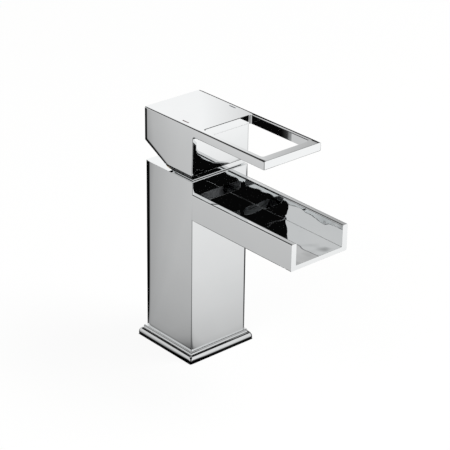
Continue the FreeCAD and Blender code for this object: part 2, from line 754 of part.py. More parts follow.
# The steel stem: a square bar in the handle, a hole for the pin, and an arm with the ball below.
def make_stem():
    stem_top = handle_ceiling - s.stem_end - pivot_level
    bar = box("stem_bar", (-boss_radius, boss_radius), (-s.stem_half_depth, s.stem_half_depth),
              (-s.bar_drop, stem_top))
    arm = cylinder("stem_arm", s.arm_radius, -s.ball_arm, -s.bar_drop)
    ball = doc.addObject("Part::Sphere", "stem_ball")
    bind(ball, "Radius", s.ball_radius)
    move(ball, z=-s.ball_arm)
    hole = cross_cylinder("stem_pin_hole", s.pin_radius + s.running_gap, boss_radius, ZERO)
    return move(cut("stem", fuse("stem_blank", [bar, arm, ball]), [hole]), z=pivot_level)


# The plastic carrier: takes the ball in its boss, slides in the guide by its key.
def make_disc_carrier():
    radius = housing_bore - disc_rest - s.carrier_gap
    plate = cylinder("carrier_plate", radius, ZERO, s.carrier_height)
    key = box("carrier_key", (-s.key_half, s.key_half), (-s.key_length / 2, s.key_length / 2),
              (s.carrier_height, s.carrier_height + s.key_height))
    ball = ball_level - carrier_bottom
    top = ball + s.socket_rise
    boss = cylinder("carrier_boss", boss_radius, s.carrier_height, top, ZERO, -disc_rest)
    socket_bottom = ball - s.ball_radius - s.socket_floor
    socket = cylinder("ball_socket", s.ball_radius + s.socket_gap, socket_bottom, top, ZERO, -disc_rest)
    groove = ring("carrier_groove", s.carrier_seal_radius, s.carrier_seal_radius + s.carrier_seal_width,
                  s.carrier_seal_height)
    blank = fuse("carrier_blank", [plate, key, boss])
    return move(cut("disc_carrier", blank, [socket, groove]), y=disc_rest, z=carrier_bottom)


# The ring between the carrier and the moving disc.
def make_carrier_seal():
    item = ring("carrier_seal", s.carrier_seal_radius, s.carrier_seal_radius + s.carrier_seal_width,
                s.carrier_seal_height)
    return move(item, y=disc_rest, z=carrier_bottom)


# The upper ceramic disc. Its recess joins the inlets to the outlet when it slides forward.
def make_moving_disc():
    radius = housing_bore - disc_rest - s.carrier_gap - s.disc_margin
    disc = cylinder("moving_blank", radius, ZERO, s.moving_disc_height)
    front = s.port_radius - s.port_front + s.recess_land - disc_rest
    recess = box("recess", (-s.recess_half, s.recess_half), (front, front + s.recess_length),
                 (ZERO, s.recess_depth))
    return move(cut("moving_disc", disc, [recess]), y=disc_rest, z=moving_disc_bottom)


# Faces of the handle that several pieces share.
handle_half = column_half + s.handle_overhang
handle_rear = column_half + s.handle_back
lip_bottom = s.column_top + s.handle_gap
block_bottom = lip_bottom + s.lip_height
handle_top = block_bottom + s.block_height
handle_ceiling = handle_top - s.handle_roof
boss_bottom = (pivot_level + s.pivot_drop * cosine(s.lift_angle) + cover_radius * sine(s.lift_angle)
               + s.tilt_clearance)
screw_level = (boss_bottom + handle_ceiling) / 2
mark_middle = handle_half - s.mark_side


# The handle: a hollow block with a slanted back and a loop lever, cast in one.
def make_handle():
    body = new_body("handle")
    lever_bottom = handle_top - s.lever_thickness
    tip = column_half + s.lever_length
    side = outline(sketch(body, "side", "YZ_Plane"), [
        (-column_half, block_bottom),
        (s.slant_start, block_bottom),
        (handle_rear, block_bottom + s.slant_rise),
        (handle_rear, handle_top),
        (-tip, handle_top),
        (-tip, lever_bottom),
        (-column_half, lever_bottom),
    ])
    pad(body, side, handle_half * 2, symmetric=True)
    soften(body, "lever_root", "Fillet", s.root_radius,
           lambda edge: runs_along(edge, "x") and at(edge, y=column_half, z=lever_bottom))

    loop_half = handle_half - s.side_bar
    loop_front = tip - s.front_bar
    loop_rear = column_half + s.rear_bar
    loop = sketch(body, "loop", "XY_Plane", handle_top)
    pocket(body, rectangle(loop, (-loop_half, loop_half), (-loop_front, -loop_rear)), s.lever_thickness)
    soften(body, "loop_corners", "Fillet", s.loop_corner,
           lambda edge: runs_along(edge, "z") and at(edge, x=loop_half))
    soften(body, "loop_bevel_edge", "Chamfer", s.loop_bevel,
           lambda edge: at(edge, z=handle_top) and inside_loop(edge, loop_half, loop_front, loop_rear))
    soften(body, "outer_edges", "Fillet", s.handle_edge,
           lambda edge: is_outer_edge(edge, tip))

    # The lip under the front half ends on the slant of the back.
    lip_rear = s.slant_start - s.lip_height * (handle_rear - s.slant_start) / s.slant_rise
    lip_front = s.lip_front_inset - column_half
    lip = outline(sketch(body, "lip", "YZ_Plane"), [
        (lip_front, lip_bottom),
        (lip_rear, lip_bottom),
        (s.slant_start, block_bottom),
        (lip_front, block_bottom),
    ])
    pad(body, lip, (handle_half - s.lip_inset) * 2, symmetric=True)

    hollow = sketch(body, "hollow", "XY_Plane", lip_bottom)
    hollow_half = handle_half - s.handle_wall
    hollow_rear = handle_rear - s.handle_wall
    rectangle(hollow, (-hollow_half, hollow_half), (s.handle_wall - column_half, hollow_rear))
    pocket(body, hollow, handle_ceiling - lip_bottom, reverse=True)

    # The boss from the roof to the back wall takes the stem and the grub screw.
    socket_half = boss_radius + s.stem_fit
    socket_depth = s.stem_half_depth + s.stem_fit
    boss = sketch(body, "stem_boss", "XY_Plane", handle_ceiling)
    boss_half = socket_half + s.stem_boss_wall
    rectangle(boss, (-boss_half, boss_half), (-socket_depth - s.stem_boss_wall, hollow_rear))
    pad(body, boss, handle_ceiling - boss_bottom, reverse=True)
    socket = sketch(body, "stem_socket", "XY_Plane", boss_bottom)
    rectangle(socket, (-socket_half, socket_half), (-socket_depth, socket_depth))
    pocket(body, socket, handle_ceiling - s.stem_end + s.stem_fit - boss_bottom, reverse=True)
    thread = sketch(body, "screw_thread", "XZ_Plane", -handle_rear)
    circle(thread, s.screw_radius + s.screw_fit, ZERO, screw_level)
    pocket(body, thread, handle_rear - s.stem_half_depth, reverse=True)
    seat = sketch(body, "plug_seat", "XZ_Plane", -handle_rear)
    circle(seat, s.plug_radius + s.plug_fit, ZERO, screw_level)
    pocket(body, seat, s.plug_depth, reverse=True)

    inlay = sketch(body, "inlay", "XY_Plane", handle_top)
    for side in (1, -1):
        middle = mark_middle * side
        rectangle(inlay, (middle - s.mark_width / 2, middle + s.mark_width / 2), mark_span())
    pocket(body, inlay, s.mark_depth)
    return body


def mark_span():
    """The marks' front and rear ends."""
    front = s.mark_front - column_half
    return (front, front + s.mark_length)


def inside_loop(edge, half, front, rear):
    """Whether an edge borders the loop's opening."""
    middle = edge.CenterOfMass
    margin = s.loop_corner.value
    across = abs(middle.x) <= half.value + margin / 2
    along = -front.value - margin / 2 <= middle.y <= -rear.value + margin / 2
    return across and along and abs(middle.x) + margin < handle_half.value


def is_outer_edge(edge, tip):
    """Whether an edge is one of the handle's sharp outer corners."""
    if not isinstance(edge.Curve, Part.Line):
        return False
    if at(edge, x=handle_half):
        return edge.CenterOfMass.z > block_bottom.value
    if not runs_along(edge, "x"):
        return False
    middle = edge.CenterOfMass
    top_rear = near(middle.y, handle_rear.value) and near(middle.z, handle_top.value)
    return top_rear or near(middle.y, -tip.value)


# The M5 grub screw that clamps the handle on the stem, with its hexagon socket.
def make_grub_screw():
    shank = doc.addObject("Part::Cylinder", "screw_shank")
    bind(shank, "Radius", s.screw_radius)
    bind(shank, "Height", s.screw_length)
    socket = doc.addObject("Part::Prism", "screw_socket")
    socket.Polygon = 6
    bind(socket, "Circumradius", s.hex_key / math.sqrt(3))
    bind(socket, "Height", s.hex_depth)
    move(socket, z=s.screw_length - s.hex_depth)
    return lay_back(cut("grub_screw", shank, [socket]), s.stem_half_depth)


def lay_back(item, y):
    """Turns an upright piece to point backwards, at the grub screw's level."""
    item.Placement = FreeCAD.Placement(FreeCAD.Vector(), FreeCAD.Rotation(FreeCAD.Vector(1, 0, 0), -90))
    return move(item, y=y, z=screw_level)


# The plug that hides the grub screw, flush with the back.
def make_screw_plug():
    item = doc.addObject("Part::Cylinder", "screw_plug")
    bind(item, "Radius", s.plug_radius)
    bind(item, "Height", s.plug_depth)
    return lay_back(item, handle_rear - s.plug_depth)


# The enamel marks on the top: hot on the left of the person at the basin, cold on the right.
def make_mark(node, side):
    middle = mark_middle * side
    across = (middle - s.mark_width / 2, middle + s.mark_width / 2)
    return box(node, across, mark_span(), (handle_top - s.mark_depth, handle_top))


pieces = [
    make_mixer_body(),
    make_spout_trough(),
    make_base_flange(),
    make_base_gasket(),
    make_cartridge_base(),
    make_port_seals(),
    make_disc_seals(),
    make_fixed_disc(),
    make_cartridge_housing(),
    make_housing_o_ring(),
    make_retaining_nut(),
    make_cartridge_cover(),
    make_rotary_guide(),
    make_pivot_pin(),
    make_stem(),
    make_handle(),
    make_grub_screw(),
    make_screw_plug(),
    make_mark("hot_mark", -1),
    make_mark("cold_mark", 1),
    make_disc_carrier(),
    make_carrier_seal(),
    make_moving_disc(),
]
doc.recompute()

for item in doc.Objects:
    if "Invalid" in item.State or "Error" in item.State:
        raise ValueError(f"{item.Label} failed: {item.State}")
for piece in pieces:
    if piece.Shape.isNull() or not piece.Shape.isValid():
        raise ValueError(f"{piece.Label} has no sound shape")

os.makedirs("parts", exist_ok=True)
for piece in pieces:
    piece.Shape.exportStep(f"parts/{piece.Label}.step")
    print(piece.Label, len(piece.Shape.Solids), round(piece.Shape.Volume, 1))
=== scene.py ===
import math

import bmesh
import bpy
from mathutils import Matrix, Vector


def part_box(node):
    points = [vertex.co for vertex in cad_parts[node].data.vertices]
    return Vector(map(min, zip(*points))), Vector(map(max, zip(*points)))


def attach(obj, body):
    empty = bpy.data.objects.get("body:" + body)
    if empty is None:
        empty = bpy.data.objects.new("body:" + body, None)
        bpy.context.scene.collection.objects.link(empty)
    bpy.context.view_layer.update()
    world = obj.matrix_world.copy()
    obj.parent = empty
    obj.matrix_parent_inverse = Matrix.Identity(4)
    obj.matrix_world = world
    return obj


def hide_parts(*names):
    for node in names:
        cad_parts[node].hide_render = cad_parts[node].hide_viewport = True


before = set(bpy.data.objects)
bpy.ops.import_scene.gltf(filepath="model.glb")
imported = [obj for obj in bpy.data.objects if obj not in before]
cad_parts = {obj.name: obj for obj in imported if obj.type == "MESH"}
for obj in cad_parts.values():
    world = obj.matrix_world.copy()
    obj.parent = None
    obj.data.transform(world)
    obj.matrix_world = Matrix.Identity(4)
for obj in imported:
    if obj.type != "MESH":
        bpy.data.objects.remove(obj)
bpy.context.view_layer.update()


# BASE FLANGE
# The stepped square plate between the deck and the column, cast in brass and chrome-plated. The
# column's spigot goes through its opening, a groove in its underside takes the gasket, and polishing
# has let the plate fall off a little towards the outside.
MM = 0.001
TOUCH = 0.02 * MM
# Places closer than TOUCH count as one. A face looks along an axis where its normal has more than the
# share FACING of it, and an edge is sharp where its faces turn by more than SHARP degrees.
FACING = 0.9
SHARP = 50


def near(first, second):
    return abs(first - second) < TOUCH


def middle(element):
    """The middle of an edge or face."""
    return sum((vert.co for vert in element.verts), Vector()) / len(element.verts)


def reach(element):
    """How far an element's middle lies from the upright axis, measured square."""
    place = middle(element)
    return max(abs(place.x), abs(place.y))


def is_level(edge):
    """Whether both ends of an edge are equally high."""
    return near(edge.verts[0].co.z, edge.verts[1].co.z)


def is_sharp(edge):
    """Whether the faces at an edge meet at a sharp corner."""
    return edge.calc_face_angle() > math.radians(SHARP)


def is_rim(edge):
    """Whether an edge lies between an upright face and one that looks straight up."""
    heights = [face.normal.z for face in edge.link_faces]
    return max(heights) > FACING and min(abs(height) for height in heights) < 1 - FACING


def clear_bench():
    """Leaves edit mode and deselects everything, so that the next primitive is a piece of its own."""
    if bpy.context.object and bpy.context.object.mode == "EDIT":
        bpy.ops.object.mode_set(mode="OBJECT")
    bpy.ops.object.select_all(action="DESELECT")


def open_piece(name):
    """Names the new primitive, puts its place into its mesh and opens it in edit mode."""
    piece = bpy.context.object
    piece.name = name
    bpy.ops.object.transform_apply(location=True, rotation=True, scale=True)
    bpy.ops.object.mode_set(mode="EDIT")
    return piece


def block(name, low, high):
    """A cube primitive between two corners."""
    low, high = Vector(low), Vector(high)
    clear_bench()
    bpy.ops.mesh.primitive_cube_add(size=1, location=(low + high) / 2, scale=high - low)
    return open_piece(name)


def take(kind, test):
    """Selects the vertices, edges or faces that pass the test, and nothing else."""
    bpy.ops.mesh.select_mode(type=kind)
    bpy.ops.mesh.select_all(action="DESELECT")
    mesh = bmesh.from_edit_mesh(bpy.context.object.data)
    for element in {"VERT": mesh.verts, "EDGE": mesh.edges, "FACE": mesh.faces}[kind]:
        if test(element):
            element.select_set(True)
    bmesh.update_edit_mesh(bpy.context.object.data)


def extrude(rise):
    """Pulls what is selected straight up, or down where the rise is negative."""
    bpy.ops.mesh.extrude_region_move(TRANSFORM_OT_translate={"value": (0, 0, rise)})


def shrink(x_share, y_share, centre=(0, 0, 0)):
    """Scales what is selected across and along, towards an upright line."""
    bpy.ops.transform.resize(value=(x_share, y_share, 1), center_override=centre)


def shift(y=0.0, z=0.0):
    bpy.ops.transform.translate(value=(0, y, z))


def round_off(radius, segments):
    bpy.ops.mesh.bevel(offset=radius, segments=segments, affect="EDGES")


def polish(piece, edge, steepest=SHARP, crease=40):
    """Breaks the sharp edges as a polishing wheel does, and keeps the flats flat in the shading."""
    bpy.ops.object.mode_set(mode="OBJECT")
    breaking = piece.modifiers.new("broken_edges", "BEVEL")
    breaking.width = edge
    breaking.segments = 2
    breaking.limit_method = "ANGLE"
    breaking.angle_limit = math.radians(steepest)
    flats = piece.modifiers.new("true_flats", "WEIGHTED_NORMAL")
    flats.mode = "FACE_AREA"
    flats.weight = 100
    flats.keep_sharp = True
    bpy.ops.object.shade_smooth_by_angle(angle=math.radians(crease))
    for modifier in (breaking, flats):
        bpy.ops.object.modifier_apply(modifier=modifier.name)


flange_low, flange_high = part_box("base_flange")
column_low, column_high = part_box("mixer_body")
side_top = 3.0 * MM
plate_top = 5.0 * MM
plate_fall = 0.42 * MM
lean = 1.0 * MM
step_half = column_high.x + 1.2 * MM
opening_half = 20.1 * MM
groove_margin = 1.2 * MM
groove_width = 2.4 * MM
groove_depth = 2.0 * MM
flange_corner = 1.5 * MM
side_round = 0.9 * MM
step_break = 0.3 * MM
flange_break = 0.12 * MM

flange = block("flange_plate", flange_low, (flange_high.x, flange_high.y, side_top))
take("FACE", lambda face: face.normal.z > FACING)
extrude(plate_top - plate_fall - side_top)
leaning = 1 - lean / flange_high.x
shrink(leaning, leaning)
bpy.ops.mesh.inset(thickness=flange_high.x - lean - step_half)
shift(z=plate_fall)
extrude(flange_high.z - plate_top)
bpy.ops.mesh.inset(thickness=step_half - opening_half)
bpy.ops.mesh.delete(type="FACE")
take("FACE", lambda face: face.normal.z < -FACING)
bpy.ops.mesh.inset(thickness=groove_margin)
bpy.ops.mesh.inset(thickness=groove_width)
bpy.ops.mesh.inset(thickness=flange_high.x - groove_margin - groove_width - opening_half)
bpy.ops.mesh.delete(type="FACE")
take("EDGE", lambda edge: edge.is_boundary)
bpy.ops.mesh.bridge_edge_loops()
groove_middle = flange_high.x - groove_margin - groove_width / 2
take("FACE", lambda face: face.normal.z < -FACING and near(reach(face), groove_middle))
extrude(groove_depth)
take("EDGE", lambda edge: is_sharp(edge) and reach(edge) > step_half + lean
     and TOUCH < middle(edge).z < plate_top - TOUCH)
round_off(flange_corner, segments=8)
take("EDGE", lambda edge: is_level(edge) and near(middle(edge).z, side_top))
round_off(side_round, segments=5)
take("EDGE", lambda edge: is_rim(edge) and near(reach(edge), step_half))
round_off(step_break, segments=1)
polish(flange, flange_break, steepest=30, crease=16)


def linear(code):
    """An sRGB hex colour as linear red, green, blue and alpha."""
    shares = [int(code[place:place + 2], 16) / 255 for place in (1, 3, 5)]
    return [share / 12.92 if share <= 0.04045 else ((share + 0.055) / 1.055) ** 2.4
            for share in shares] + [1.0]


def add_node(tree, kind, values=None, links=None, stops=None, **settings):
    """Adds a node: settings are its properties, values fill its sockets, links join them to another
    node's output, and stops are the places and colours of a ramp."""
    made = tree.nodes.new(kind)
    for name, setting in settings.items():
        setattr(made, name, setting)
    for socket, value in (values or {}).items():
        made.inputs[socket].default_value = value
    for socket, (source, output) in (links or {}).items():
        tree.links.new(source.outputs[output], made.inputs[socket])
    for place, code in (stops or []):
        ends = made.color_ramp.elements
        stop = ends[0] if place == 0 else ends[-1] if place == 1 else ends.new(place)
        stop.color = linear(code)
    return made


def new_material(name):
    """An empty material, and the node tree it is built in."""
    material = bpy.data.materials.new(name)
    material.use_nodes = True
    material.node_tree.nodes.clear()
    return material, material.node_tree


def chrome_plate(name, wave, depth):
    """Bright chrome over a buffed base. It mirrors its surroundings with a faint cool tint, bends
    them a little where the buffing left waves, and has thin films where it was wiped dry."""
    film_size = 22 * MM
    material, tree = new_material(name)
    place = add_node(tree, "ShaderNodeTexCoord")
    waves = add_node(tree, "ShaderNodeTexNoise", {"Scale": 1 / wave, "Detail": 0.0},
                     {"Vector": (place, "Object")})
    bump = add_node(tree, "ShaderNodeBump", {"Strength": 1.0, "Distance": depth},
                    {"Height": (waves, 0)})
    film = add_node(tree, "ShaderNodeTexNoise",
                    {"Scale": 1 / film_size, "Detail": 5.0, "Roughness": 0.6},
                    {"Vector": (place, "Object")})
    gloss = add_node(tree, "ShaderNodeMapRange",
                     {"From Min": 0.3, "From Max": 0.8, "To Min": 0.015, "To Max": 0.035},
                     {"Value": (film, 0)})
    tint = add_node(tree, "ShaderNodeValToRGB", links={"Fac": (film, 0)},
                    stops=[(0, "#F1F3F4"), (1, "#F7F8F8")])
    surface = add_node(tree, "ShaderNodeBsdfPrincipled", {"Metallic": 1.0},
                       {"Base Color": (tint, 0), "Roughness": (gloss, 0), "Normal": (bump, 0)})
    add_node(tree, "ShaderNodeOutputMaterial", links={"Surface": (surface, 0)})
    return material


# Wheel-polished: long, shallow waves, so straight edges stay nearly straight in it.
chromed_brass = chrome_plate("chrome-plated brass", wave=30 * MM, depth=0.02 * MM)
flange.data.materials.append(chromed_brass)
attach(flange, "fixed_body")
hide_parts("base_flange")


# BASE GASKET
# A square ring of moulded EPDM rubber that keeps water off the deck hole. It is pressed into the
# flange's groove, flush with the deck.
def finish_node(node, material):
    """Gives a CAD node its finish."""
    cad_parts[node].material_slots[0].material = material


def moulded(name, dark, light, grain, rough, **values):
    """A moulded or sintered surface: two close shades and a fine grain that takes the gloss off."""
    gloss_play = 0.06
    material, tree = new_material(name)
    place = add_node(tree, "ShaderNodeTexCoord")
    speck = add_node(tree, "ShaderNodeTexNoise", {"Scale": 1 / grain, "Detail": 3.0},
                     {"Vector": (place, "Object")})
    shade = add_node(tree, "ShaderNodeValToRGB", links={"Fac": (speck, 0)},
                     stops=[(0, dark), (1, light)])
    gloss = add_node(tree, "ShaderNodeMapRange",
                     {"To Min": rough - gloss_play, "To Max": rough + gloss_play},
                     {"Value": (speck, 0)})
    bump = add_node(tree, "ShaderNodeBump", {"Strength": 0.4, "Distance": grain / 20},
                    {"Height": (speck, 0)})
    surface = add_node(tree, "ShaderNodeBsdfPrincipled", values,
                       {"Base Color": (shade, 0), "Roughness": (gloss, 0), "Normal": (bump, 0)})
    add_node(tree, "ShaderNodeOutputMaterial", links={"Surface": (surface, 0)})
    return material


# Rubber from a blasted mould: nearly black, matt, with a fine grain.
black_rubber = moulded("moulded EPDM rubber", "#0E0E0F", "#1C1C1D",
                       grain=0.6 * MM, rough=0.62, IOR=1.52)
finish_node("base_gasket", black_rubber)


# COLUMN
# The square brass casting that carries everything, ground flat, polished and chrome-plated.
# The cartridge sits in the round chamber at its top, hoses and stud go up into the hollow foot.
X, Y, Z = Vector((1, 0, 0)), Vector((0, 1, 0)), Vector((0, 0, 1))
# How many sides a wide and a small cylinder have.
WIDE_ROUND = 96
SMALL_ROUND = 48


def runs_along(edge, axis):
    """Whether an edge is parallel to an axis."""
    span = edge.verts[1].co - edge.verts[0].co
    return abs(span.dot(axis)) > 0.99 * span.length


def score(point, normal, test=None):
    """Cuts a line where a plane meets the faces that pass the test, or all faces without one."""
    take("FACE", test or (lambda face: True))
    bpy.ops.mesh.bisect(plane_co=point, plane_no=normal)


def carve(piece, cutter, operation="DIFFERENCE"):
    """Cuts a solid out of a piece, or joins it on, and leaves the piece in object mode."""
    clear_bench()
    bpy.context.view_layer.objects.active = piece
    piece.select_set(True)
    cutting = piece.modifiers.new("cut", "BOOLEAN")
    cutting.operation = operation
    cutting.solver = "EXACT"
    cutting.object = cutter
    bpy.ops.object.modifier_apply(modifier=cutting.name)
    bpy.data.objects.remove(cutter)


def bar(name, radius, bottom, top, x=0.0, y=0.0, sides=WIDE_ROUND):
    """An upright cylinder primitive."""
    clear_bench()
    bpy.ops.mesh.primitive_cylinder_add(vertices=sides, radius=radius, depth=top - bottom,
                                        location=(x, y, (bottom + top) / 2))
    return open_piece(name)


trough_low, trough_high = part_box("spout_trough")
# How far a cutter reaches past the face that it goes through.
over = 1.0 * MM
# Where the wheel has dubbed a face, two numbers say how deep it falls off and how wide that strip is.
side_dub = Vector((0.55, 4.4)) * MM
front_dub = Vector((0.25, 1.9)) * MM
column_corner = 0.5 * MM
column_break = 0.2 * MM
spigot_half = opening_half - 0.1 * MM
foot_half = column_high.x - 4.0 * MM
web_bottom = 74.0 * MM
chamber_floor = 89.0 * MM
chamber_radius = 18.2 * MM
nut_thread_bottom = 114.9 * MM
nut_thread_radius = 19.0 * MM
hose_thread_radius = 4.5 * MM
stud_thread_radius = 3.4 * MM
thread_depth = 12.0 * MM
hose_places = [Vector((side * 7.75, -2.6)) * MM for side in (-1, 1)]
stud_place = Vector((0.0, 11.0)) * MM
slot_half = 16.4 * MM
slot_bottom = 106.0 * MM
slot_top = 112.0 * MM
slot_corner = 2.9 * MM

column = block("column", (column_low.x, column_low.y, flange_high.z), column_high)
# The polishing wheel has dubbed the sides towards the back, and the front towards both sides up to
# where the trough stops it.
score(Y * (column_high.y - side_dub.y), Y)
for side in (-1, 1):
    score(X * side * (column_high.x - front_dub.y), X)
for level in (trough_low.z, trough_high.z):
    score(Z * level, Z)
take("VERT", lambda vert: near(vert.co.y, column_high.y))
shrink(1 - side_dub.x / column_high.x, 1)
take("VERT", lambda vert: near(vert.co.y, column_low.y) and near(abs(vert.co.x), column_high.x)
     and vert.co.z < trough_high.z - TOUCH)
shift(y=front_dub.x)
take("EDGE", lambda edge: runs_along(edge, Z) and is_sharp(edge))
round_off(column_corner, segments=4)
carve(column, block("spigot", (-spigot_half, -spigot_half, column_low.z),
                    (spigot_half, spigot_half, flange_high.z + over)), "UNION")
carve(column, block("hose_space", (-foot_half, -foot_half, column_low.z - over),
                    (foot_half, foot_half, web_bottom)))
carve(column, bar("chamber", chamber_radius, chamber_floor, column_high.z + over))
carve(column, bar("nut_thread", nut_thread_radius, nut_thread_bottom, column_high.z + over))
threads = [(place, hose_thread_radius) for place in hose_places] + [(stud_place, stud_thread_radius)]
for place, radius in threads:
    carve(column, bar("hose_or_stud_thread", radius, web_bottom - over, web_bottom + thread_depth,
                      place.x, place.y, SMALL_ROUND))
slot = block("outlet_slot", (-slot_half, column_low.y - over, slot_bottom), (slot_half, 0, slot_top))
take("EDGE", lambda edge: runs_along(edge, Y))
round_off(slot_corner, segments=6)
carve(column, slot)
polish(column, column_break)
column.data.materials.append(chromed_brass)
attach(column, "fixed_body")
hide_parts("mixer_body")


# TROUGH
# The open spout: a U-shaped channel milled from brass bar, let into the column's front under the
# outlet slot, soldered there and chrome-plated with it. Its lower edges are broken, and the wheel
# can't follow the inside, so that is left wavy.
wall = 3.9 * MM
channel_floor = trough_low.z + 3.0 * MM
channel_half = trough_high.x - wall
let_in = 0.15 * MM
channel_corner = 0.15 * MM
rim_round = 0.8 * MM
lower_break = Vector((0.3, 0.58)) * MM
trough_break = 0.12 * MM

trough = block("trough", trough_low, (trough_high.x, column_low.y + let_in, channel_floor))
for side in (-1, 1):
    score(X * side * channel_half, X)
take("FACE", lambda face: face.normal.z > FACING and abs(middle(face).x) > channel_half)
extrude(trough_high.z - channel_floor)
take("EDGE", lambda edge: runs_along(edge, Y) and near(middle(edge).z, channel_floor)
     and near(abs(middle(edge).x), channel_half))
round_off(channel_corner, segments=4)
take("EDGE", lambda edge: runs_along(edge, Y) and near(middle(edge).z, trough_high.z))
round_off(rim_round, segments=4)
score(Z * (trough_low.z + lower_break.y), Z)
take("VERT", lambda vert: near(vert.co.z, trough_low.z))
shrink(1 - lower_break.x / trough_high.x, 1)
polish(trough, trough_break, crease=25)
# Buffed by hand: short, deeper waves that pull what the channel mirrors into ripples.
wavy_chrome = chrome_plate("chrome-plated brass, hand-buffed", wave=10 * MM, depth=0.16 * MM)
trough.data.materials.append(chromed_brass)
trough.data.materials.append(wavy_chrome)
for face in trough.data.polygons:
    inside = abs(face.center.x) < channel_half + TOUCH and face.center.z > channel_floor - TOUCH
    looks_out = abs(face.normal.y) >= 0.5
    face.material_index = 1 if inside and not looks_out else 0
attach(trough, "fixed_body")
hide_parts("spout_trough")


# CARTRIDGE
# The mixing valve inside the column: a moulded acetal housing and base, two lapped alumina discs,
# rubber seals, and the guide and carrier that the lever moves. It stays as the CAD model has it.

# Acetal from a fine mould: an even shade with a waxy sheen, grey or milky white.
grey_acetal = moulded("grey moulded acetal", "#8E9194", "#A2A5A7",
                      grain=1.5 * MM, rough=0.42, IOR=1.48)
white_acetal = moulded("white moulded acetal", "#DCDBD5", "#E9E8E3",
                       grain=1.5 * MM, rough=0.40, IOR=1.48)
# Lapped alumina: ivory, dense and smooth, with a soft gloss.
alumina = moulded("lapped alumina", "#DEDAD0", "#EDEAE2", grain=0.8 * MM, rough=0.20, IOR=1.76)
for node in ("port_seals", "disc_seals", "housing_o_ring", "carrier_seal"):
    finish_node(node, black_rubber)
for node in ("cartridge_base", "cartridge_housing"):
    finish_node(node, grey_acetal)
for node in ("rotary_guide", "disc_carrier"):
    finish_node(node, white_acetal)
for node in ("fixed_disc", "moving_disc"):
    finish_node(node, alumina)


# STEM, PIN, SCREW AND NUT
# The machined fittings: the steel stem on its cross pin, the grub screw that holds the handle on it,
# and the brass nut that keeps the cartridge down. Turning leaves fine rings on them.
WAVE_RADIANS = 20


def machined(name, dark, light, groove, rough):
    """A turned metal: fine rings from the tool, drawn coarse enough to show, over two close shades.
    The wave node runs through WAVE_RADIANS for each unit of its scale."""
    material, tree = new_material(name)
    place = add_node(tree, "ShaderNodeTexCoord")
    rings = add_node(tree, "ShaderNodeTexWave",
                     {"Scale": 1 / (WAVE_RADIANS * groove), "Distortion": 0.6, "Detail": 2.0},
                     {"Vector": (place, "Object")}, wave_type="RINGS", rings_direction="Z")
    shade = add_node(tree, "ShaderNodeValToRGB", links={"Fac": (rings, 1)},
                     stops=[(0, dark), (1, light)])
    gloss = add_node(tree, "ShaderNodeMapRange", {"To Min": rough - 0.05, "To Max": rough + 0.08},
                     {"Value": (rings, 1)})
    bump = add_node(tree, "ShaderNodeBump", {"Strength": 0.3, "Distance": groove / 10},
                    {"Height": (rings, 1)})
    surface = add_node(tree, "ShaderNodeBsdfPrincipled", {"Metallic": 1.0},
                       {"Base Color": (shade, 0), "Roughness": (gloss, 0), "Normal": (bump, 0)})
    add_node(tree, "ShaderNodeOutputMaterial", links={"Surface": (surface, 0)})
    return material


# Turned steel and brass: a satin shine that breaks up into rings.
stainless = machined("turned stainless steel", "#A9ABAD", "#C4C6C8", groove=0.4 * MM, rough=0.28)
brass = machined("turned brass", "#B48F45", "#CDA957", groove=0.4 * MM, rough=0.30)
for node in ("stem", "pivot_pin", "grub_screw"):
    finish_node(node, stainless)
finish_node("retaining_nut", brass)


# CARTRIDGE COVER
# The turned brass cap over nut and neck, chrome-plated, pushed on before the handle. It only shows
# from behind, under the slanted back of the handle.
cover_low, cover_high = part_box("cartridge_cover")
cover_bore = 13.1 * MM
skirt_top = cover_low.z + 1.0 * MM
shoulder_top = cover_low.z + 4.0 * MM
collar = 14.35 * MM
collar_bevel = 0.6 * MM
cover_break = 0.15 * MM

clear_bench()
bpy.ops.mesh.primitive_circle_add(vertices=WIDE_ROUND, radius=cover_high.x,
                                  location=(0, 0, cover_low.z))
cover = open_piece("cover_shell")
bpy.ops.mesh.select_all(action="SELECT")
steps = [
    (cover_high.x, skirt_top),
    (collar, shoulder_top),
    (collar, cover_high.z - collar_bevel),
    (collar - collar_bevel, cover_high.z),
    (cover_bore, cover_high.z),
    (cover_bore, cover_low.z),
]
radius, level = cover_high.x, cover_low.z
for next_radius, next_level in steps:
    extrude(next_level - level)
    share = next_radius / radius
    shrink(share, share, centre=(0, 0, next_level))
    radius, level = next_radius, next_level
take("EDGE", lambda edge: edge.is_boundary)
bpy.ops.mesh.bridge_edge_loops()
bpy.ops.mesh.select_all(action="SELECT")
bpy.ops.mesh.normals_make_consistent(inside=False)
polish(cover, cover_break, steepest=35)
cover.data.materials.append(chromed_brass)
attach(cover, "fixed_body")
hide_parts("cartridge_cover")


# HANDLE
# A hollow block with a slanted back and a flat loop for the fingers, die-cast in zinc in one piece,
# ground, polished and chrome-plated. A lip with undercut sides closes the gap to the column.
handle_low, handle_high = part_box("handle")
lever_bottom = handle_high.z - 5.45 * MM
block_bottom = handle_low.z + 3.35 * MM
block_front = column_low.y
slant_start = 4.0 * MM
slant_end = block_bottom + 9.3 * MM
slant = Vector((0, handle_high.y - slant_start, slant_end - block_bottom))
slant_foot = Vector((0, slant_start, block_bottom))
slant_normal = Vector((0, slant.z, -slant.y)).normalized()

handle = block("loop_handle", (handle_low.x, handle_low.y, lever_bottom), handle_high)
score(Y * block_front, Y)
take("FACE", lambda face: face.normal.z < -FACING and middle(face).y > block_front)
extrude(block_bottom - lever_bottom)
bpy.ops.mesh.select_all(action="SELECT")
bpy.ops.mesh.bisect(plane_co=slant_foot, plane_no=slant_normal, use_fill=True, clear_outer=True)


def on_back(vert):
    """Whether a vertex lies on the handle's rear face or on its slant."""
    return near(vert.co.y, handle_high.y) or near((vert.co - slant_foot).dot(slant_normal), 0)


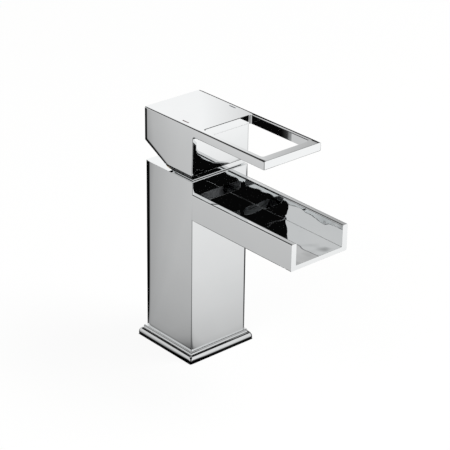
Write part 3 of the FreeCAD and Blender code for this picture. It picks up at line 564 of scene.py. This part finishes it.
# Its sides are dubbed towards the back, like the column's.
back_dub = Vector((0.3, 3.0)) * MM
for point, normal in ((Y * handle_high.y, Y), (slant_foot, slant_normal)):
    score(point - normal * back_dub.y, normal)
take("VERT", on_back)
shrink(1 - back_dub.x / handle_high.x, 1)

# The top falls off to its sides, more on the right, and the block's front to its left side and to
# its lower edge.
left_dub = Vector((0.15, 1.6)) * MM
right_dub = Vector((0.42, 1.9)) * MM
block_dub = Vector((0.5, 4.5)) * MM
for side, dub in ((-1, left_dub), (1, right_dub)):
    score(X * side * (handle_high.x - dub.y), X, lambda face: face.normal.z > FACING)
    take("VERT", lambda vert: near(vert.co.z, handle_high.z)
         and side * vert.co.x > handle_high.x - back_dub.x - TOUCH)
    shift(z=-dub.x)
for point, normal in ((X * (handle_low.x + block_dub.y), X), (Z * (block_bottom + block_dub.y), Z)):
    score(point, normal, lambda face: face.normal.y < -FACING and near(middle(face).y, block_front))
take("VERT", lambda vert: near(vert.co.y, block_front) and vert.co.z < lever_bottom - TOUCH
     and (near(vert.co.x, handle_low.x) or near(vert.co.z, block_bottom)))
shift(y=block_dub.x)

# The loop's opening goes through the lever from top to bottom.
loop_half = handle_high.x - 3.9 * MM
loop_front = handle_low.y + 5.8 * MM
loop_rear = block_front - 5.4 * MM
loop_corner = 1.5 * MM
loop_break = 0.3 * MM
throat_round = 1.5 * MM
cuts = [(X * side * loop_half, X) for side in (-1, 1)]
cuts += [(Y * loop_front, Y), (Y * loop_rear, Y)]
for point, normal in cuts:
    score(point, normal, lambda face: abs(face.normal.z) > FACING and middle(face).y < block_front)
take("FACE", lambda face: abs(face.normal.z) > FACING and abs(middle(face).x) < loop_half
     and loop_front < middle(face).y < loop_rear)
bpy.ops.mesh.delete(type="FACE")
take("EDGE", lambda edge: edge.is_boundary)
bpy.ops.mesh.bridge_edge_loops()


def in_loop(edge, margin):
    """Whether an edge lies in the loop's opening or within a margin of it."""
    place = middle(edge)
    return abs(place.x) < loop_half + margin and loop_front - margin < place.y < loop_rear + margin


take("EDGE", lambda edge: runs_along(edge, Z) and near(abs(middle(edge).x), loop_half))
round_off(loop_corner, segments=4)
take("EDGE", lambda edge: is_rim(edge) and near(middle(edge).z, handle_high.z) and in_loop(edge, TOUCH))
round_off(loop_break, segments=1)
for y, radius, segments in ((loop_rear, loop_break, 2), (block_front, throat_round, 4)):
    take("EDGE", lambda edge: runs_along(edge, X) and near(middle(edge).y, y)
         and near(middle(edge).z, lever_bottom))
    round_off(radius, segments)

# The lip under the front half is drawn in downwards and ends on the slant of the back.
lip_half = handle_high.x - 0.5 * MM
lip_front = block_front + 1.5 * MM
undercut = 1.2 * MM


def on_underside(face):
    """Whether a face is part of the block's flat underside."""
    return face.normal.z < -FACING and near(middle(face).z, block_bottom)


for point, normal in [(X * side * lip_half, X) for side in (-1, 1)] + [(Y * lip_front, Y)]:
    score(point, normal, on_underside)
take("FACE", lambda face: on_underside(face) and abs(middle(face).x) < lip_half
     and middle(face).y > lip_front)
extrude(handle_low.z - block_bottom)
shrink(1 - undercut / lip_half, 1)
take("VERT", lambda vert: near(vert.co.z, handle_low.z) and near(vert.co.y, slant_start))
shift(y=(handle_low.z - block_bottom) * slant.y / slant.z)

# The outer edges are rounded, the rear ones less and the lever's upper front edge least.
outer_round = 0.6 * MM
rear_round = 0.4 * MM
nose_round = 0.25 * MM


def is_outer(edge):
    """Whether an edge is a sharp corner of the outside, above the lip and clear of the loop."""
    above_lip = middle(edge).z > block_bottom - TOUCH
    return edge.is_convex and is_sharp(edge) and above_lip and not in_loop(edge, over)


def on_nose(edge):
    """Whether an edge is part of the lever's upper front edge."""
    return near(middle(edge).y, handle_low.y) and middle(edge).z > handle_high.z - right_dub.x - TOUCH


def on_rear(edge):
    """Whether an edge lies on the handle's rear face or on its slant."""
    return all(on_back(vert) for vert in edge.verts)


take("EDGE", lambda edge: is_outer(edge) and not on_nose(edge) and not on_rear(edge))
round_off(outer_round, segments=4)
take("EDGE", lambda edge: is_outer(edge) and on_nose(edge))
round_off(nose_round, segments=2)
take("EDGE", lambda edge: is_outer(edge) and on_rear(edge))
round_off(rear_round, segments=3)

# Inside, a boss hangs from the roof and takes the stem and the grub screw.
casting = 3.5 * MM
ceiling = handle_high.z - 4.0 * MM
boss_bottom = cover_high.z + 7.1 * MM
stem_low, stem_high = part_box("stem")
screw_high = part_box("grub_screw")[1]
plug_low, plug_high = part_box("screw_plug")
screw_level = (plug_low.z + plug_high.z) / 2
fit = 0.05 * MM
hollow_rear = handle_high.y - casting
boss_half = stem_high.x + fit + casting
handle_break = 0.15 * MM
carve(handle, block("hollow", (casting - handle_high.x, block_front + casting, handle_low.z - over),
                    (handle_high.x - casting, hollow_rear, ceiling)))
carve(handle, block("boss", (-boss_half, stem_low.y - fit - casting, boss_bottom),
                    (boss_half, hollow_rear + over, ceiling + over)), "UNION")
carve(handle, block("stem_socket", (stem_low.x - fit, stem_low.y - fit, boss_bottom - over),
                    (stem_high.x + fit, stem_high.y + fit, stem_high.z + fit)))


def lying_bar(name, radius, rear, front):
    """A cylinder primitive along Y at the grub screw's height."""
    clear_bench()
    bpy.ops.mesh.primitive_cylinder_add(vertices=SMALL_ROUND, radius=radius, depth=rear - front,
                                        location=(0, (rear + front) / 2, screw_level),
                                        rotation=(math.pi / 2, 0, 0))
    return open_piece(name)


carve(handle, lying_bar("screw_thread", screw_high.x + fit, handle_high.y + over, stem_high.y))
carve(handle, lying_bar("plug_seat", plug_high.x + fit, handle_high.y + over, plug_low.y))
for mark in ("hot_mark", "cold_mark"):
    mark_low, mark_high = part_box(mark)
    carve(handle, block("inlay", mark_low, mark_high + Z * over))
polish(handle, handle_break)
# Wheel-polished like the brass, with a slightly longer wave on the larger flats.
chromed_zinc = chrome_plate("chrome-plated zinc", wave=34 * MM, depth=0.02 * MM)
handle.data.materials.append(chromed_zinc)
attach(handle, "lever")
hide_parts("handle")


# SCREW PLUG
# The small cap of chromed ABS over the grub screw, moulded with a shallow dish in its face. It is
# pushed in flush with the handle's back.
cap_round = 0.35 * MM
dish_margin = 0.9 * MM
dish_depth = 0.12 * MM
cap_break = 0.1 * MM

plug = lying_bar("plug_cap", plug_high.x, plug_high.y, plug_low.y)
take("FACE", lambda face: face.normal.y > FACING)
round_off(cap_round, segments=3)
take("FACE", lambda face: face.normal.y > FACING and len(face.verts) == SMALL_ROUND)
bpy.ops.mesh.inset(thickness=dish_margin)
shift(y=-dish_depth)
polish(plug, cap_break)
# Plated straight from the mould: the short waves of a small moulding.
chromed_abs = chrome_plate("chrome-plated ABS", wave=12 * MM, depth=0.02 * MM)
plug.data.materials.append(chromed_abs)
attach(plug, "lever")
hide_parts("screw_plug")


# HOT AND COLD MARKS
# Two short lines of enamel, red for hot and blue for cold, filled into the top and polished flush.
# They are so narrow that they read as dark dashes with only a hint of their colour.
red_enamel = moulded("red enamel", "#46100F", "#561817", grain=0.5 * MM, rough=0.25, IOR=1.52)
blue_enamel = moulded("blue enamel", "#18212F", "#232E3E", grain=0.5 * MM, rough=0.25, IOR=1.52)
finish_node("hot_mark", red_enamel)
finish_node("cold_mark", blue_enamel)


# STUDIO
# A pale floor under a light tent, as polished metal is photographed. Only the metal sees the tent,
# the card round the foot and the black flag: their light and dark fields are what the chrome mirrors.
# Two softboxes light the floor and aren't mirrored.
FLOOR_SIZE = 8.0
FLOOR_GLOW = 0.9


def background_seen(tree):
    """1 for rays that show the background, to the camera or in metal and glass, and 0 for the others,
    which only take light from it."""
    rays = add_node(tree, "ShaderNodeLightPath")
    seen = add_node(tree, "ShaderNodeMath", operation="MAXIMUM",
                    links={0: (rays, "Is Camera Ray"), 1: (rays, "Is Glossy Ray")})
    return add_node(tree, "ShaderNodeMath", operation="MAXIMUM",
                    links={0: (seen, 0), 1: (rays, "Is Transmission Ray")})


clear_bench()
bpy.ops.mesh.primitive_plane_add(size=FLOOR_SIZE)
floor = bpy.context.object
floor.name = "studio_floor"
# Matt paint that looks nearly white all over and still takes the object's shadow.
floor_paint, tree = new_material("pale floor paint")
share = add_node(tree, "ShaderNodeMath", {1: FLOOR_GLOW}, {0: (background_seen(tree), 0)},
                 operation="MULTIPLY")
matt = add_node(tree, "ShaderNodeBsdfDiffuse", {"Color": linear("#F4F4F2")})
white = add_node(tree, "ShaderNodeEmission", {"Color": linear("#FFFFFF"), "Strength": 1.0})
mixed = add_node(tree, "ShaderNodeMixShader", links={0: (share, 0), 1: (matt, 0), 2: (white, 0)})
add_node(tree, "ShaderNodeOutputMaterial", links={"Surface": (mixed, 0)})
floor.data.materials.append(floor_paint)


def only_mirrored(piece):
    """A studio piece that the metal mirrors, and that neither lights nor hides anything."""
    piece.visible_camera = False
    piece.visible_diffuse = False
    piece.visible_shadow = False
    piece.visible_transmission = False


def surround(name, hub, around, outward):
    """A glowing cloth whose tone follows the compass round an upright hub and a second measure, which
    the caller builds from the place: height on the tent, distance from the foot on the card."""
    material, tree = new_material(name)
    place = add_node(tree, "ShaderNodeTexCoord")
    parts = add_node(tree, "ShaderNodeSeparateXYZ", links={0: (place, "Object")})
    away = add_node(tree, "ShaderNodeVectorMath", {1: hub}, {0: (place, "Object")},
                    operation="SUBTRACT")
    away = add_node(tree, "ShaderNodeSeparateXYZ", links={0: (away, 0)})
    turn = add_node(tree, "ShaderNodeMath", links={0: (away, "Y"), 1: (away, "X")},
                    operation="ARCTAN2")
    compass = add_node(tree, "ShaderNodeMapRange", {"From Min": -math.pi, "From Max": math.pi},
                       {"Value": (turn, 0)})
    round_tone = add_node(tree, "ShaderNodeValToRGB", links={"Fac": (compass, 0)},
                          stops=[((degrees + 180) / 360, code) for degrees, code in around])
    measure, stops = outward(tree, parts)
    out_tone = add_node(tree, "ShaderNodeValToRGB", links={"Fac": (measure, 0)}, stops=stops)
    tone = add_node(tree, "ShaderNodeMix", {0: 1.0}, {6: (round_tone, 0), 7: (out_tone, 0)},
                    data_type="RGBA", blend_type="MULTIPLY")
    glow = add_node(tree, "ShaderNodeEmission", {"Strength": 1.0}, {"Color": (tone, 2)})
    add_node(tree, "ShaderNodeOutputMaterial", links={"Surface": (glow, 0)})
    return material


# The compass runs in degrees from +X towards +Y, and the heights are shares of the tent's radius.
TENT_RADIUS = 1.5
TENT_HUB = (0, 0, 0)
TENT_COMPASS = [
    (-180, "#D8D8D8"), (-160, "#C0C0C0"), (-152, "#080808"), (-108, "#080808"), (-98, "#E0E0E0"),
    (-60, "#F0F0F0"), (-30, "#A0A0A0"), (10, "#606060"), (38, "#909090"), (45, "#D0D0D0"),
    (49, "#FCFCFC"), (62, "#FFFFFF"), (84, "#A8A8A8"), (98, "#C8C8C8"), (112, "#FFFFFF"),
    (122, "#D2D2D2"), (150, "#D0D0D0"), (180, "#D8D8D8"),
]
TENT_HEIGHTS = [
    (0, "#C8C8C8"), (0.08, "#FFFFFF"), (0.53, "#FFFFFF"), (0.60, "#303030"), (0.80, "#303030"),
    (0.90, "#E8E8E8"), (1, "#FFFFFF"),
]


def tent_height(tree, parts):
    """Height on the tent: a bright band near the floor, a dark ring above it, a lit roof."""
    height = add_node(tree, "ShaderNodeMath", {1: TENT_RADIUS}, {0: (parts, "Z")}, operation="DIVIDE")
    return height, TENT_HEIGHTS


bpy.ops.mesh.primitive_uv_sphere_add(segments=64, ring_count=32, radius=TENT_RADIUS)
tent = bpy.context.object
tent.name = "light_tent"
tent.data.materials.append(surround("tent cloth", TENT_HUB, TENT_COMPASS, tent_height))
only_mirrored(tent)

# The card's hub lies under the column's rear left quarter, and its distances are shares of its reach.
CARD_RADIUS = 1.5
CARD_LIFT = 0.2 * MM
CARD_REACH = 0.4
CARD_HUB = (column_low.x / 2, column_high.y / 2, 0)
CARD_COMPASS = [
    (-180, "#D0D0D0"), (-168, "#CCCCCC"), (-152, "#BCBCBC"), (-135, "#909090"), (-131, "#080808"),
    (-120, "#080808"), (-112, "#B0B0B0"), (-102, "#505050"), (-93, "#808080"), (-87, "#E0E0E0"),
    (-78, "#F6F6F6"), (-60, "#FCFCFC"), (-46, "#FCFCFC"), (-42, "#202020"), (-28, "#202020"),
    (-18, "#A8A8A8"), (-6, "#707070"), (8, "#D8D8D8"), (34, "#A0A0A0"), (42, "#909090"),
    (50, "#D0D0D0"), (82, "#D8D8D8"), (96, "#808080"), (103, "#808080"), (109, "#080808"),
    (126, "#080808"), (129, "#B8B8B8"), (133, "#CCCCCC"), (138, "#D4D4D4"), (168, "#D4D4D4"),
    (180, "#D0D0D0"),
]
# Painted shade: the card is black within about 5 mm of the flange, standing for the floor's shadow
# round the foot, and lightens outwards.
CARD_PAINTED_SHADE = [
    (0, "#101010"), (0.0105, "#181818"), (0.0125, "#C0C0C0"), (0.03, "#CACACA"), (0.06, "#D0D0D0"),
    (0.1, "#D8D8D8"), (0.2, "#E4E4E4"), (0.3, "#EAEAEA"), (0.5, "#F4F4F4"), (0.65, "#FFFFFF"),
    (1, "#FFFFFF"),
]


def card_painted_shade(tree, parts):
    """Distance from the flange: black close by, a painted shadow of the flange on the floor that the
    chrome mirrors, and lighter further out.
    """
    across = add_node(tree, "ShaderNodeMath", links={0: (parts, "X")}, operation="ABSOLUTE")
    along = add_node(tree, "ShaderNodeMath", links={0: (parts, "Y")}, operation="ABSOLUTE")
    square = add_node(tree, "ShaderNodeMath", links={0: (across, 0), 1: (along, 0)},
                      operation="MAXIMUM")
    outside = add_node(tree, "ShaderNodeMapRange",
                       {"From Min": flange_high.x, "From Max": flange_high.x + CARD_REACH},
                       {"Value": (square, 0)})
    return outside, CARD_PAINTED_SHADE


# The card glows with painted floor light and a painted shadow round the foot, which only the metal
# mirrors.
bpy.ops.mesh.primitive_circle_add(vertices=64, radius=CARD_RADIUS, fill_type="NGON",
                                  location=(0, 0, CARD_LIFT))
card = bpy.context.object
card.name = "floor_card_painted_shade"
card.data.materials.append(surround("floor card with painted shade", CARD_HUB, CARD_COMPASS, card_painted_shade))
only_mirrored(card)

FLAG_PLACE = (0.594, 0.535, 0.22)
FLAG_TURN = math.radians(-48)
FLAG_WIDTH = 0.2
FLAG_HEIGHT = 0.44
bpy.ops.mesh.primitive_plane_add(size=1, location=FLAG_PLACE, rotation=(math.pi / 2, 0, FLAG_TURN))
flag = bpy.context.object
flag.name = "black_flag"
flag.scale = (FLAG_WIDTH, FLAG_HEIGHT, 1)
bpy.ops.object.transform_apply(location=True, rotation=True, scale=True)
# Felt: black, with no shine at all.
black_felt = moulded("black felt", "#020202", "#060606", grain=1.0 * MM, rough=0.9)
flag.data.materials.append(black_felt)
only_mirrored(flag)

SOFTBOXES = [("key", (1.4, -1.2, 2.2), 1.6, 60), ("fill", (-1.8, -0.6, 1.8), 1.8, 26)]
for name, place, size, watts in SOFTBOXES:
    lamp = bpy.data.lights.new(f"{name}_softbox", "AREA")
    lamp.size = size
    lamp.energy = watts
    stand = bpy.data.objects.new(f"{name}_softbox", lamp)
    stand.location = place
    stand.rotation_euler = (-Vector(place)).to_track_quat("-Z", "Y").to_euler()
    stand.visible_glossy = False
    bpy.context.scene.collection.objects.link(stand)

AIR_LIGHT = 0.4
world = bpy.data.worlds.new("studio")
world.use_nodes = True
tree = world.node_tree
tree.nodes.clear()
air = add_node(tree, "ShaderNodeBackground", {"Color": linear("#FFFFFF"), "Strength": AIR_LIGHT})
white = add_node(tree, "ShaderNodeBackground", {"Color": linear("#FFFFFF"), "Strength": 1.0})
mixed = add_node(tree, "ShaderNodeMixShader",
                 links={0: (background_seen(tree), 0), 1: (air, 0), 2: (white, 0)})
add_node(tree, "ShaderNodeOutputWorld", links={"Surface": (mixed, 0)})
bpy.context.scene.world = world
bpy.context.scene.view_settings.view_transform = "Standard"


# CAMERA
# The photograph's view, from the left of the spout and above. Its place, turn, tilt, roll and focal
# length were found from the object's own edges.
CAMERA_PLACE = Vector((-624.97, -732.64, 546.02)) * MM
CAMERA_TURN = math.radians(-41.52)
CAMERA_TILT = math.radians(25.89)
CAMERA_ROLL = math.radians(0.84)
FOCAL_PIXELS = 1739.66
PHOTO_PIXELS = 450
STUDIO_DEPTH = 20.0

level_back = Vector((math.sin(CAMERA_TURN), -math.cos(CAMERA_TURN), 0))
back = level_back * math.cos(CAMERA_TILT) + Z * math.sin(CAMERA_TILT)
right = Vector((math.cos(CAMERA_TURN), math.sin(CAMERA_TURN), 0))
up = back.cross(right)
rolled_right = right * math.cos(CAMERA_ROLL) + up * math.sin(CAMERA_ROLL)
rolled_up = up * math.cos(CAMERA_ROLL) - right * math.sin(CAMERA_ROLL)
facing = Matrix((rolled_right, rolled_up, back)).transposed().to_4x4()
lens = bpy.data.cameras.new("photo_camera")
lens.lens = lens.sensor_width * FOCAL_PIXELS / PHOTO_PIXELS
lens.clip_end = STUDIO_DEPTH
camera = bpy.data.objects.new("photo_camera", lens)
camera.matrix_world = Matrix.Translation(CAMERA_PLACE) @ facing
bpy.context.scene.collection.objects.link(camera)
bpy.context.scene.camera = camera
